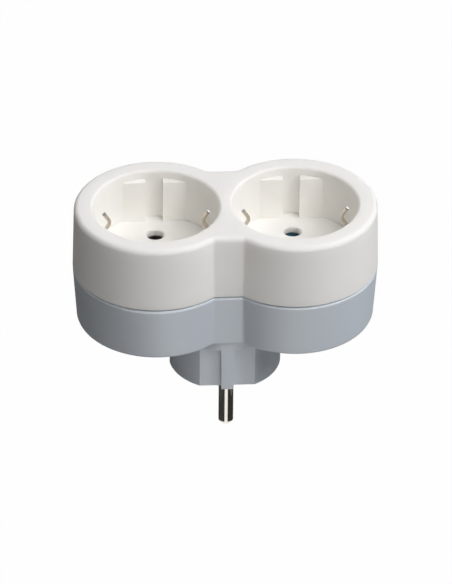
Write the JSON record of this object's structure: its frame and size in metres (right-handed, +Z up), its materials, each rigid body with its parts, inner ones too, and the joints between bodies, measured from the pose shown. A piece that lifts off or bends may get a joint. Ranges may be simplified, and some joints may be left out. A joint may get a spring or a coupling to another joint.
{
  "type": "multi socket adapter",
  "caption": "Socket adapter with round recesses in an ivory cover, a waisted blue-grey housing, and a round-pin earthed plug body below.",
  "frame": {"origin": "centre of the plug body's end face, between the two plug pins", "axes": "+X through both sockets, +Y from the front pin row to the rear one, +Z up out of the recesses; the plug pins point along -Z"},
  "size_m": [0.0952, 0.0522, 0.0772],
  "materials": {
    "ivory_plastic": "smooth ivory-white moulding, slightly glossy",
    "blue_grey_plastic": "satin blue-grey moulding",
    "nickel_plate": "polished nickel plate",
    "spring_wire": "drawn nickel-plated spring wire",
    "brass": "plain rolled brass",
    "screw_steel": "zinc-plated screws"
  },
  "bodies": {
    "root": {"busbar_front": "brass", "busbar_rear": "brass", "contact_spring_front_left": "brass", "contact_spring_front_right": "brass", "contact_spring_rear_left": "brass", "contact_spring_rear_right": "brass", "earth_bow_left": "spring_wire", "earth_bow_right": "spring_wire", "earth_rivet": "brass", "earth_strip": "brass", "housing_screws": "screw_steel", "lower_housing": "blue_grey_plastic", "plug_earth_bracket": "nickel_plate", "plug_pin_front": "nickel_plate", "plug_pin_rear": "nickel_plate", "socket_cover": "ivory_plastic", "spring_rivets": "brass"}
  },
  "joints": []
}
